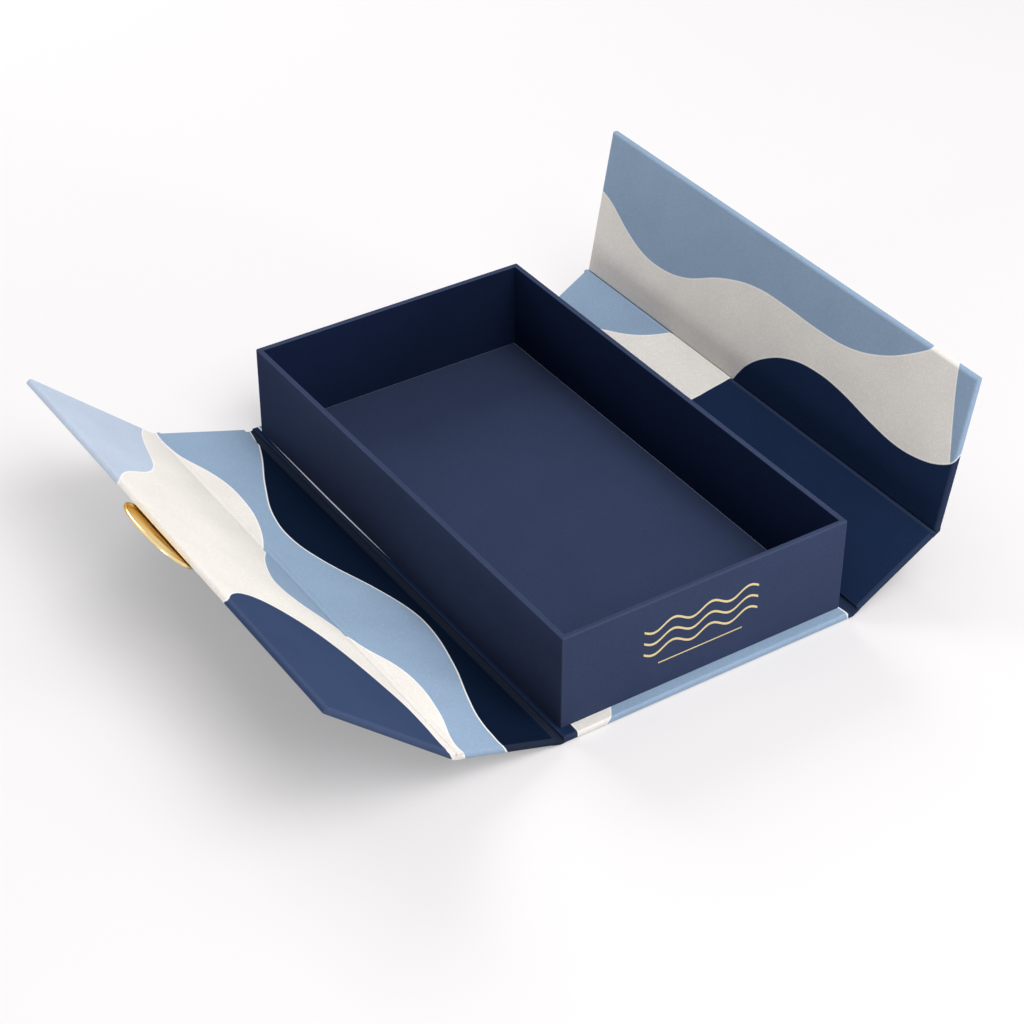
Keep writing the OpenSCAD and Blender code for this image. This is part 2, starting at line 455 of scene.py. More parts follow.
@dataclass(frozen=True)
class Paper:
    """Covering paper with a fine pressed grain, dyed or printed, and matt laminated.

    The pressed grain takes the gloss off. Rounded edges are painted as a paler line, a painted
    highlight in place of the gloss, partly also edge wear where the fibres have opened.
    """

    roughness: float = 0.6
    specular: float = 0.0
    grain_mm: float = 0.9
    grain_warp: float = 0.8
    fine_ratio: float = 2.7
    fine_share: float = 0.35
    relief_mm: float = 0.08
    mottle: float = 0.08
    cloud_mm: float = 25.0
    cloud: float = 0.035
    # The paler colour and its share on marked rounded edges: a painted highlight, partly edge wear.
    worn_lit_edge: str = "#9aa2b8"
    wear_and_highlight: float = 0.045
    GRAIN_SPAN: ClassVar[tuple[float, float]] = (0.1, 0.6)

    def grain(self, tree: Tree, place_mm: Socket) -> Socket:
        """Draws the pressed grain, a field of small joined hollows.

        Args:
            tree: The node tree.
            place_mm: The point in millimetres.

        Returns:
            The height, from 0 to 1.
        """
        large = noise(tree, place_mm, self.grain_mm, 3.0, self.grain_warp)
        small = noise(tree, place_mm, self.grain_mm / self.fine_ratio, 2.0)
        ridges = calculate(tree, "ABSOLUTE", calculate(tree, "MULTIPLY_ADD", large, 2.0, -1.0))
        return calculate(tree, "MULTIPLY_ADD", small, self.fine_share, ridges)

    def finish(
        self, tree: Tree, shader: Node, place_mm: Socket, colour: Colour | Socket
    ) -> None:
        """Lays the colour and the relief on a shader.

        Args:
            tree: The node tree.
            shader: The material's shader.
            place_mm: The point in millimetres.
            colour: The plain colour.
        """
        height = self.grain(tree, place_mm)
        cloud = noise(tree, place_mm, self.cloud_mm, 3.0)
        light = rescale(tree, cloud, NOISE_SPAN, (1 - self.cloud, 1 + self.cloud))
        thread = rescale(tree, height, self.GRAIN_SPAN, (1 - self.mottle, 1 + self.mottle))
        level = calculate(tree, "MULTIPLY", light, thread)
        grey = add_node(tree, "ShaderNodeCombineColor", {i: level for i in range(3)})
        shade = mix_colours(tree, 1.0, colour, grey.outputs[0], "MULTIPLY")
        # Marked rounded edges are mixed towards the paler colour: a painted highlight, partly edge
        # wear.
        fold = add_node(tree, "ShaderNodeAttribute", attribute_name=WORN_LIT_EDGE).outputs["Fac"]
        worn_lit_edge = calculate(tree, "MULTIPLY", fold, self.wear_and_highlight)
        relief = {"Height": height, "Distance": self.relief_mm * MM, "Strength": 1.0}
        bump = add_node(tree, "ShaderNodeBump", relief)
        final = mix_colours(tree, worn_lit_edge, shade, linear(self.worn_lit_edge))
        tree.links.new(final, shader.inputs["Base Color"])
        tree.links.new(bump.outputs[0], shader.inputs["Normal"])
        shader.inputs["Roughness"].default_value = self.roughness
        shader.inputs["Specular IOR Level"].default_value = self.specular


def object_place(tree: Tree) -> Socket:
    """Gives the point on the object in millimetres."""
    place = add_node(tree, "ShaderNodeTexCoord").outputs["Object"]
    return add_node(
        tree, "ShaderNodeVectorMath", {0: place, 1: (1 / MM,) * 3}, operation="MULTIPLY"
    ).outputs[0]


def dyed_paper(name: str, colour: str, paper: Paper) -> Material:
    """Makes a covering paper of one colour.

    Args:
        name: The finish's name.
        colour: Its sRGB hex colour.
        paper: The sheet.

    Returns:
        The material.
    """
    material, tree, shader = new_material(name)
    paper.finish(tree, shader, object_place(tree), linear(colour))
    return material


@dataclass(frozen=True)
class Metal:
    """Plated or foiled metal, polished and then handled, so that its gloss varies a little."""

    colour: str
    roughness: float
    edge_tint: str = "#ffffff"
    smear_mm: float = 6.0
    ripple_mm: float = 5.0
    relief_mm: float = 0.004

    def material(self, name: str) -> Material:
        """Makes the material under a plain name."""
        material, tree, shader = new_material(name)
        place = object_place(tree)
        smear = noise(tree, place, self.smear_mm, 4.0)
        ripple = noise(tree, place, self.ripple_mm, 2.0)
        span = (0.8 * self.roughness, 1.3 * self.roughness)
        rough = rescale(tree, smear, NOISE_SPAN, span)
        relief = {"Height": ripple, "Distance": self.relief_mm * MM, "Strength": 1.0}
        bump = add_node(tree, "ShaderNodeBump", relief)
        shader.inputs["Base Color"].default_value = linear(self.colour)
        shader.inputs["Metallic"].default_value = 1.0
        shader.inputs["Specular Tint"].default_value = linear(self.edge_tint)
        tree.links.new(rough, shader.inputs["Roughness"])
        tree.links.new(bump.outputs[0], shader.inputs["Normal"])
        return material


# ---- print


class Along(Enum):
    """The direction over which an edge of the print is drawn."""

    LENGTH = 0
    WIDTH = 1


@dataclass(frozen=True)
class Edge:
    """One smooth edge between two colours.

    Its points give the share of the sheet's width and the share of its half length. They go
    one way along the length, or along the width where the edge runs outwards.
    """

    points: Points
    along: Along = Along.LENGTH


LEFT_NAVY = Edge((
    (0.37, 1.0), (0.384, 0.92), (0.408, 0.82), (0.48, 0.59), (0.53, 0.39), (0.539, 0.24),
    (0.516, 0.1), (0.451, -0.11), (0.423, -0.24), (0.419, -0.33), (0.449, -0.56), (0.49, -0.74),
    (0.509, -0.84), (0.516, -0.95), (0.5135, -1.01), (0.502, -1.027),
))
LEFT_CREAM = Edge((
    (0.621, 1.0), (0.625, 0.94), (0.617, 0.83), (0.58, 0.7), (0.567, 0.62), (0.566, 0.5),
    (0.58, 0.37), (0.626, 0.2), (0.674, 0.096), (0.711, -0.01), (0.728, -0.1), (0.704, -0.2),
    (0.648, -0.286), (0.622, -0.36), (0.612, -0.416), (0.579, -0.527), (0.569, -0.64),
    (0.582, -0.786), (0.614, -0.99), (0.606, -1.02),
))
LEFT_FAR = Edge((
    (0.664, 1.0), (0.695, 0.932), (0.734, 0.808), (0.771, 0.66), (0.795, 0.59), (0.823, 0.535),
    (0.858, 0.489), (0.939, 0.414), (0.998, 0.314), (1.03, 0.24),
))
LEFT_NEAR_INNER = Edge((
    (0.678, -0.64), (0.667, -0.711), (0.66, -0.77), (0.6585, -0.84), (0.66, -0.9), (0.664, -0.97),
    (0.657, -1.013), (0.642, -1.022),
))
LEFT_NEAR_OUTER = Edge((
    (0.667, -0.711), (0.694, -0.577), (0.711, -0.516), (0.755, -0.412), (0.815, -0.344),
    (0.85, -0.322), (0.892, -0.314), (0.94, -0.333), (0.981, -0.379), (1.013, -0.441),
), Along.WIDTH)
RIGHT_BLUE = Edge((
    (0.846, 1.0), (0.836, 0.943), (0.79, 0.804), (0.767, 0.7), (0.762, 0.6), (0.778, 0.456),
    (0.84, 0.249), (0.872, 0.073), (0.877, -0.1), (0.875, -0.25), (0.883, -0.43), (0.917, -0.59),
    (0.961, -0.708), (1.01, -0.81),
))
RIGHT_NAVY = Edge((
    (0.3, 0.35), (0.433, 0.23), (0.526, 0.147), (0.569, 0.12), (0.614, 0.103), (0.651, 0.076),
    (0.679, 0.048), (0.735, -0.052), (0.773, -0.18), (0.786, -0.32), (0.782, -0.43), (0.76, -0.62),
    (0.752, -0.735), (0.758, -0.84), (0.777, -0.937), (0.803, -1.0), (0.819, -1.02),
))
RIGHT_LENS = Edge((
    (0.47, 1.0), (0.5, 0.8), (0.525, 0.7), (0.552, 0.596), (0.589, 0.505), (0.63, 0.438),
))
RIGHT_END = Edge(((0.793, -0.98), (0.871, -0.95), (0.958, -0.92), (1.0, -0.91)), Along.WIDTH)
BASE_NAVY = Edge(((-0.94, 1.0), (-0.94, 0.0), (-0.88, -0.5), (-0.885, -1.0)))
BASE_CREAM = Edge((
    (-1.1, 0.2), (-0.9, -0.1), (-0.66, -0.6), (-0.6, -0.92), (-0.63, -0.96), (-0.675, -1.0),
))
BASE_RIGHT = Edge(((0.94, 1.0), (0.94, 0.0), (0.9, -0.5), (0.955, -1.0)))


@dataclass(frozen=True)
class Inks:
    """The inks of the wave fields, by the field they fill, and the pale line between fields.

    The deep and the pale navy are one navy ink in two copies: darker on the left side panel as
    painted shade from the tray wall, lighter in the near patch of the left top panel as painted
    light.
    """

    ground: str = "#e9e4de"
    line: str = "#f6f4f1"
    pale_blue: str = "#bbc7d9"
    blue: str = "#90a6bf"
    navy: str = "#1c2b48"
    shaded_navy: str = "#0e1a2e"
    lit_navy: str = "#394868"


INKS = Inks()


class Print:
    """The offset-printed lining: fields of colour with soft wave edges, matt laminated."""

    SPAN = 1.25
    STEP = 0.016
    EDGE_MM = 0.09
    LINE_SPAN_MM = (0.15, 0.35)
    LINE_COVER = 0.9

    def __init__(self, name: str, paper: Paper, width_mm: float) -> None:
        """Starts the material.

        Args:
            name: The finish's name.
            paper: The sheet.
            width_mm: The way that counts as a share of 1 across the sheet.
        """
        self.material, self.tree, self.shader = new_material(name)
        self.paper = paper
        self.scale = (width_mm, SIZES.case_l / 2)
        place = add_node(self.tree, "ShaderNodeAttribute", attribute_name=SHEET)
        self.share = place.outputs["Vector"]
        axes = add_node(self.tree, "ShaderNodeSeparateXYZ", {0: self.share})
        self.axes = (axes.outputs[0], axes.outputs[1])

    def sampled(self, edge: Edge, shift: float) -> Socket:
        """Reads an edge's curve at the point's share along it, moved by a shift.

        Args:
            edge: The edge.
            shift: The move along the edge's direction, as a share.

        Returns:
            The edge's own share across that direction.
        """
        over = self.axes[1] if edge.along is Along.LENGTH else self.axes[0]
        scale = 0.5 / self.SPAN
        start = calculate(self.tree, "MULTIPLY_ADD", over, scale, 0.5 + shift * scale)
        node = add_node(self.tree, "ShaderNodeFloatCurve", {"Value": start})
        turn = slice(None, None, -1) if edge.along is Along.LENGTH else slice(None)
        pairs = sorted(p[turn] for p in edge.points)
        curve = node.mapping.curves[0]
        while len(curve.points) < len(pairs):
            curve.points.new(0.5, 0.5)
        for point, pair in zip(curve.points, pairs):
            point.location = [(v / self.SPAN + 1) / 2 for v in pair]
            point.handle_type = "AUTO"
        node.mapping.update()
        return calculate(self.tree, "MULTIPLY_ADD", node.outputs[0], 2 * self.SPAN, -self.SPAN)

    def beyond(self, edge: Edge) -> Socket:
        """Measures how far the point lies past an edge, square to it.

        Args:
            edge: The edge.

        Returns:
            The distance in millimetres, positive outwards, or towards the far end for an edge
            that is drawn over the width.
        """
        tree = self.tree
        across = 0 if edge.along is Along.LENGTH else 1
        ahead, behind = self.sampled(edge, self.STEP), self.sampled(edge, -self.STEP)
        middle = calculate(tree, "MULTIPLY", calculate(tree, "ADD", ahead, behind), 0.5)
        rise = self.scale[across] / (2 * self.STEP * self.scale[1 - across])
        slope = calculate(tree, "MULTIPLY", calculate(tree, "SUBTRACT", ahead, behind), rise)
        slant = calculate(tree, "SQRT", calculate(tree, "MULTIPLY_ADD", slope, slope, 1.0))
        way = calculate(tree, "SUBTRACT", self.axes[across], middle)
        way_mm = calculate(tree, "MULTIPLY", way, self.scale[across])
        return calculate(tree, "DIVIDE", way_mm, slant)

    def short_of(self, edge: Edge) -> Socket:
        """Measures how far the point lies before an edge, in millimetres."""
        return calculate(self.tree, "MULTIPLY", self.beyond(edge), -1.0)

    def wider(self, *fields: Socket) -> Socket:
        """Joins two fields or more into one."""
        joined = fields[0]
        for other in fields[1:]:
            joined = calculate(self.tree, "MAXIMUM", joined, other)
        return joined

    def common(self, a: Socket, b: Socket) -> Socket:
        """Gives the field where two fields lie over each other."""
        return calculate(self.tree, "MINIMUM", a, b)

    def finish(self, ground: str, fields: Sequence[tuple[Socket, str]]) -> Material:
        """Lays the fields on the ground colour, each over the ones before it.

        Args:
            ground: The ground colour.
            fields: Each field's inside distance in millimetres with its colour.

        Returns:
            The material.
        """
        tree = self.tree
        colour = linear(ground)
        for inside, ink in fields:
            away = calculate(tree, "ABSOLUTE", inside)
            rim = rescale(tree, away, self.LINE_SPAN_MM, (self.LINE_COVER, 0.0))
            cover = rescale(tree, inside, (-self.EDGE_MM, self.EDGE_MM), (0.0, 1.0))
            colour = mix_colours(tree, cover, colour, linear(ink))
            colour = mix_colours(tree, rim, colour, linear(INKS.line))
        place = add_node(
            tree,
            "ShaderNodeVectorMath",
            {0: self.share, 1: (self.scale[0], self.scale[1], 1.0)},
            operation="MULTIPLY",
        )
        self.paper.finish(tree, self.shader, place.outputs[0], colour)
        return self.material


def left_print(paper: Paper) -> Material:
    """Makes the lining's print on the left door."""
    sheet = Print("left door print", paper, SIZES.sheet_half)
    near = sheet.common(sheet.beyond(LEFT_NEAR_INNER), sheet.short_of(LEFT_NEAR_OUTER))
    fields = (
        (sheet.beyond(LEFT_FAR), INKS.pale_blue),
        (sheet.short_of(LEFT_CREAM), INKS.blue),
        # The side panel's navy is painted darker as painted shade, the near patch's lighter as
        # painted light.
        (sheet.short_of(LEFT_NAVY), INKS.shaded_navy),
        (near, INKS.lit_navy),
    )
    return sheet.finish(INKS.ground, fields)


def right_print(paper: Paper) -> Material:
    """Makes the lining's print on the right door."""
    sheet = Print("right door print", paper, SIZES.sheet_half)
    fold = (SIZES.hinge_x + SIZES.side_len) / SIZES.sheet_half
    share = calculate(sheet.tree, "SUBTRACT", fold, sheet.axes[0])
    before_fold = calculate(sheet.tree, "MULTIPLY", share, SIZES.sheet_half)
    lens = sheet.common(sheet.beyond(RIGHT_LENS), before_fold)
    blue = sheet.wider(sheet.beyond(RIGHT_BLUE), sheet.short_of(RIGHT_END), lens)
    navy = sheet.short_of(RIGHT_NAVY)
    return sheet.finish(INKS.ground, ((blue, INKS.blue), (navy, INKS.navy)))


def base_print(paper: Paper) -> Material:
    """Makes the lining's print on the base panel, of which the ledges round the tray show."""
    sheet = Print("base print", paper, SIZES.hinge_x)
    navy = sheet.wider(sheet.short_of(BASE_NAVY), sheet.beyond(BASE_RIGHT))
    cream = sheet.short_of(BASE_CREAM)
    return sheet.finish(INKS.blue, ((cream, INKS.ground), (navy, INKS.navy)))


class Finishes:
    """Every material of the box, made once."""

    def __init__(self) -> None:
        """Makes the papers, prints and metals."""
        # The papers are all but free of gloss, so that navy stays navy under a white room. The
        # grain's small hollows break their light, and a rounded edge is painted a little paler, as
        # a painted highlight, partly edge wear.
        paper = Paper()
        self.wrap = dyed_paper("navy covering paper", "#37415c", paper)
        # The tray's inner walls get the navy paper darkened, as painted shade inside the tray.
        self.inside = dyed_paper("deep navy covering paper", "#162039", paper)
        # The floor card's rounded rim is painted much paler: a painted highlight, partly wear.
        self.card = dyed_paper("navy floor card paper", "#333d58", Paper(wear_and_highlight=0.5))
        self.cover = dyed_paper("navy cover paper", "#222d4c", paper)
        self.print = {Door.LEFT: left_print(paper), Door.RIGHT: right_print(paper)}
        self.base = base_print(paper)
        # Plating is bright where it faces the lamps and brown where it mirrors the panel.
        self.gilt = Metal("#f0d6a0", 0.16, "#c49a5c").material("gold-plated steel")
        # Foil takes the paper's unevenness, so its pale gold breaks into fine sparks.
        foil = Metal("#f0dca6", 0.35, ripple_mm=0.8, relief_mm=0.01)
        self.foil = foil.material("stamped gold foil")
        # The hidden fasteners are plain turned metal, softer in gloss than the plate.
        self.brass = Metal("#d8b070", 0.22).material("polished brass")
        self.nickel = Metal("#c4c4c8", 0.25).material("nickel plate")


# ---- case


class Side(Enum):
    """What a long edge of a panel borders on, with its rounding there in millimetres."""

    FREE = 1.2
    GROOVE = 0.55
    CREASE = 0.12


@dataclass
class Panel:
    """One covered board of the case, with papered edges and softened corners."""

    name: str
    body: str
    replaced: tuple[str, ...]
    span_mm: tuple[float, float]
    sides: tuple[Side, Side]
    place: Matrix
    sheet_from_mm: float
    sheet_sign: int
    sheet_width_mm: float
    slot: str
    end_radius_mm: float = 1.1
    under_radius_mm: float = 0.35
    corner_radius_mm: float = 0.5

    def radius(self, ends: Sequence[Vector]) -> float:
        """Gives an edge's rounding.

        Args:
            ends: The edge's two ends in millimetres.

        Returns:
            The radius in millimetres.
        """
        for place, side in zip(self.span_mm, self.sides):
            if all_at(ends, 0, place):
                if all_at(ends, 2, SIZES.case_t):
                    return side.value
                if not all_at(ends, 2, SIZES.paper_t):
                    return self.corner_radius_mm if side is Side.FREE else 0.0
        return self.end_radius_mm if all_at(ends, 2, SIZES.case_t) else self.under_radius_mm

    def unfold(self, point: Vector) -> tuple[float, float]:
        """Gives a point's place on the sheet, which turns down over the ends and the free edge.

        Args:
            point: The point on the flat panel in millimetres.

        Returns:
            The way from the sheet's middle outwards, and the way along it.
        """
        drop = SIZES.case_t - point.z
        out, along = self.sheet_sign * point.x, point.y
        if abs(along) > SIZES.case_l / 2 - self.end_radius_mm - SAME_PLACE_MM:
            along = math.copysign(abs(along) + drop, along)
        elif Side.FREE in self.sides and out > SIZES.top_len - Side.FREE.value - SAME_PLACE_MM:
            out += drop
        return self.sheet_from_mm + out, along

    def build(self, material: Material) -> None:
        """Models the panel flat, marks the sheet on it, and puts it in its place.

        Args:
            material: The print.
        """
        half_l = SIZES.case_l / 2
        low, high = self.span_mm
        piece = add_block(self.name, (low, -half_l, SIZES.paper_t), (high, half_l, SIZES.case_t))
        round_edges(piece, self.radius)
        finish_mesh(piece)
        mark_sheet(piece, self.unfold, self.sheet_width_mm)
        move_to(piece, self.place)
        dress(piece, material)
        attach(piece, self.body)
        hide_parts(*self.replaced)
        LOG.info("%s rides on %s", piece.name, self.body)


@dataclass
class PaperHinge:
    """A strip of paper that crosses a fold line, drawn round its section."""

    name: str
    parent: str
    child: str
    door: Door
    at_fold: Matrix
    fold_deg: float
    fold_mm: float
    section: Points
    bend: tuple[float, float]
    end_gap_mm: float
    slot: str

    def point(self, u: float, z: float) -> Vector:
        """Gives a point of the strip's section in the row frame.

        Args:
            u: The way from the fold line, negative on the parent's side, in millimetres.
            z: The height above the outer face in millimetres.

        Returns:
            The point at Y = 0, in metres.
        """
        share = 0.0 if u < 0 else 1.0 if u > 0 else 0.5
        return self.at_fold @ turned(self.door, share * self.fold_deg) @ Vector(
            (self.door.value * u * MM, 0, z * MM)
        )

    def build(self, material: Material) -> None:
        """Draws an edge round the section, closes the ends and bakes the strip in its place.

        Args:
            material: The paper.
        """
        line = [self.point(u, z) for u, z in self.section]
        half_l = (SIZES.case_l / 2 - self.end_gap_mm) * MM
        deselect_all()
        bpy.ops.mesh.primitive_plane_add(size=2)
        piece = bpy.context.object
        piece.name = self.name
        with editing(piece):
            pick(piece, "EDGE", lambda e: lies_at(e, 0, -1.0))
            bpy.ops.mesh.delete(type="EDGE")
            pick(piece, "EDGE", lambda e: lies_at(e, 0, 1.0))
            bpy.ops.transform.resize(value=(1, half_l, 1), center_override=(1, 0, 0))
            bpy.ops.transform.translate(value=line[0] - Vector((1, 0, 0)))
            for here, there in zip(line, line[1:] + line[:1]):
                bpy.ops.mesh.extrude_region_move(TRANSFORM_OT_translate={"value": there - here})
            pick(piece, "VERT", lambda v: not v.link_faces)
            bpy.ops.mesh.delete(type="VERT")
            bpy.ops.mesh.select_all(action="SELECT")
            bpy.ops.mesh.remove_doubles(threshold=1e-6)
            for end in (-half_l, half_l):
                pick(piece, "EDGE", lambda e, y=end: lies_at(e, 1, y))
                bpy.ops.mesh.edge_face_add()
        finish_mesh(piece)
        mark_sheet(
            piece, lambda p: (self.fold_mm + self.nearest(line, p * MM), p.y), SIZES.sheet_half
        )
        dress(piece, material)
        start, end = self.point(self.bend[0], 1.0), self.point(self.bend[1], 1.0)
        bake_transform(piece)

    def nearest(self, line: Sequence[Vector], co: Vector) -> float:
        """Gives the way from the fold line of the section's point that is nearest to a point."""
        flat = Vector((co.x, 0, co.z))
        i = min(range(len(line)), key=lambda k: (line[k] - flat).length)
        return self.section[i][0]


class Case:
    """The wrap-around case: five panels, eight strips over the folds, and the plain covers."""

    GROOVE: Points = (
        (-1.9, 0.3), (-1.9, 2.0), (-1.62, 1.72), (-1.2, 1.42), (-0.7, 1.3), (0.0, 1.28),
        (1.4, 1.28), (2.2, 1.32), (2.75, 1.46), (3.1, 1.75), (3.4, 2.0), (3.4, 0.3), (0.0, 0.3),
    )
    COVER: Points = (
        (-1.6, 0.02), (-1.6, 0.26), (0.0, 0.26), (1.6, 0.26), (1.6, 0.02), (0.0, 0.02),
    )
    COVER_BEND = (-0.8, 0.8)
    LINING_GAP_MM = 0.05
    COVER_GAP_MM = 1.6
    SLOTS = {Door.LEFT: ("print_blue", "print_cream"), Door.RIGHT: ("print_navy", "print_blue")}

    def __init__(self, finishes: Finishes) -> None:
        """Keeps the finishes."""
        self.finishes = finishes

    def build(self) -> None:
        """Builds the base panel and both doors."""
        edge = SIZES.hinge_x - SIZES.base_set
        Panel(
            "base_panel", "case_base", ("base_lining", "base_board"), (-edge, edge),
            (Side.GROOVE, Side.GROOVE), Matrix.Identity(4), 0.0, 1, SIZES.hinge_x, "print_blue",
        ).build(self.finishes.base)
        for door in Door:
            self.build_door(door)
        covers = [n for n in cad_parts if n.endswith("_cover")]
        for name in covers:
            dress_node(name, self.finishes.cover)

    def crease(self, fold_deg: float) -> Points:
        """Draws the strip between a side panel and a top panel.

        The lining runs on level from the side panel, and the top panel's edge presses it in.

        Args:
            fold_deg: The angle of the top panel to the side panel.

        Returns:
            The section.
        """
        s, turn = SIZES, math.radians(fold_deg)
        press = s.top_set * math.cos(turn) - s.case_t * math.sin(turn)
        return (
            (-3.5, 0.3), (-3.5, 2.4), (-3.15, 2.52), (-2.85, 2.57), (press - 0.95, 2.57),
            (press - 0.65, 2.5), (press - 0.42, 2.33), (press - 0.3, 2.05), (press - 0.24, 1.6),
            (0.0, 1.3), (1.2, 1.3), (1.4, 1.2), (1.4, 0.3), (0.0, 0.3),
        )

    def build_door(self, door: Door) -> None:
        """Builds one door's two panels and their hinges."""
        s, label = SIZES, door.label
        parts = (
            ("side", (s.side_set, s.side_len - s.side_set), (Side.GROOVE, Side.CREASE),
             at_side(door), s.hinge_x),
            ("top", (s.top_set, s.top_len), (Side.CREASE, Side.FREE),
             at_top(door), s.hinge_x + s.side_len),
        )
        for (part, span, sides, place, start), slot in zip(parts, self.SLOTS[door]):
            name = f"{label}_{part}"
            Panel(
                f"{name}_panel", name, (f"{name}_lining", f"{name}_board"),
                tuple(sorted(door.value * u for u in span)), sides[:: door.value],
                place, start, door.value, s.sheet_half, slot,
            ).build(self.finishes.print[door])
        folds = (
            ("base", "case_base", f"{label}_side", at_base_fold(door), door.side_deg, s.hinge_x,
             self.GROOVE, (-s.base_set, s.side_set)),
            ("top", f"{label}_side", f"{label}_top", at_top_fold(door), door.fold_deg,
             s.hinge_x + s.side_len, self.crease(door.fold_deg), (-s.side_set, s.top_set)),
        )
        for part, parent, child, at_fold, angle, fold, section, bend in folds:
            PaperHinge(
                f"{label}_{part}_hinge", parent, child, door, at_fold, angle, fold, section, bend,
                self.LINING_GAP_MM, self.SLOTS[door][0],
            ).build(self.finishes.print[door])
            PaperHinge(
                f"{label}_{part}_hinge_cover", parent, child, door, at_fold, angle, fold,
                self.COVER, self.COVER_BEND, self.COVER_GAP_MM, "cover_paper",
            ).build(self.finishes.cover)


def dress_node(name: str, material: Material) -> None:
    """Gives a CAD node a material in place of its own."""
    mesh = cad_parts[name].data
    mesh.materials.clear()
    mesh.materials.append(material)


# ---- tray


@dataclass
class Tray:
    """The covered tray with its floor card and the foil ornament on its front wall."""

    finishes: Finishes
    corner_radius_mm: float = 0.6
    rim_radius_mm: float = 0.5
    lip_radius_mm: float = 0.4
    foot_radius_mm: float = 0.3
    card_radius_mm: float = 0.8
    cavity_lift_mm: float = 0.04

    def build(self) -> None:
        """Builds the tray's pieces."""
        self.build_shell()
        self.build_floor_card()
        dress_node("foil_emblem", self.finishes.foil)

    def is_inside(self, point: Vector) -> bool:
        """Says whether a point in millimetres lies on the inner side of the walls' middle."""
        margin = 0.5 * SIZES.wall_t
        return abs(point.x) < SIZES.tray_w / 2 - margin and abs(point.y) < SIZES.tray_l / 2 - margin

    def radius(self, ends: Sequence[Vector]) -> float:
        """Gives an edge's rounding.

        Args:
            ends: The edge's two ends in millimetres.

        Returns:
            The radius in millimetres.
        """
        inside = [self.is_inside(end) for end in ends]
        if inside[0] != inside[1]:
            return 0.0
        if all_at(ends, 2, SIZES.rim_z):
            return self.lip_radius_mm if inside[0] else self.rim_radius_mm
        if inside[0]:
            return 0.0
        return self.foot_radius_mm if all_at(ends, 2, SIZES.case_t) else self.corner_radius_mm

    def build_shell(self) -> None:
        """Models the covered walls from one block and gives them two papers, the inner walls' one
        the navy darkened as painted shade.
        """
        s = SIZES
        x, y = s.tray_w / 2, s.tray_l / 2
        piece = add_block("tray_shell", (-x, -y, s.case_t), (x, y, s.rim_z))
        top = s.rim_z * MM
        depth = (s.rim_z - s.tray_floor_z - self.cavity_lift_mm) * MM
        with editing(piece):
            pick(piece, "FACE", lambda f: lies_at(f, 2, top))
            bpy.ops.mesh.inset(thickness=s.wall_t * MM, use_even_offset=True)
            bpy.ops.mesh.extrude_region_move(TRANSFORM_OT_translate={"value": (0, 0, -depth)})
        round_edges(piece, self.radius)
        finish_mesh(piece)
        dress(piece, self.finishes.wrap)
        # The second paper, for the inner walls, is the navy darkened as painted shade.
        piece.data.materials.append(self.finishes.inside)
        for face in piece.data.polygons:
            centre = face.center / MM
            above_foot = centre.z > s.case_t + 0.01
            below_lip = centre.z < s.rim_z - self.lip_radius_mm
            if self.is_inside(centre) and above_foot and below_lip:
                face.material_index = 1
        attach(piece, "case_base")
        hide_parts("tray_wrap", "tray_board", "corner_stays")
        LOG.info("%s rides on case_base", piece.name)

    def build_floor_card(self) -> None:
        """Models the covered card that lies on the tray's floor."""
        s = SIZES
        x = s.tray_w / 2 - s.wall_t - s.floor_card_gap
        y = s.tray_l / 2 - s.wall_t - s.floor_card_gap
        low_z = s.tray_floor_z + self.cavity_lift_mm
        high_z = s.tray_floor_z + s.floor_card_t
        piece = add_block("floor_card", (-x, -y, low_z), (x, y, high_z))
        round_edges(piece, lambda ends: 0.0 if all_at(ends, 2, low_z) else self.card_radius_mm)
        finish_mesh(piece)
        dress(piece, self.finishes.card)
        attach(piece, "case_base")
        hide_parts("tray_floor_card")
        LOG.info("%s rides on case_base", piece.name)


# ---- clasp


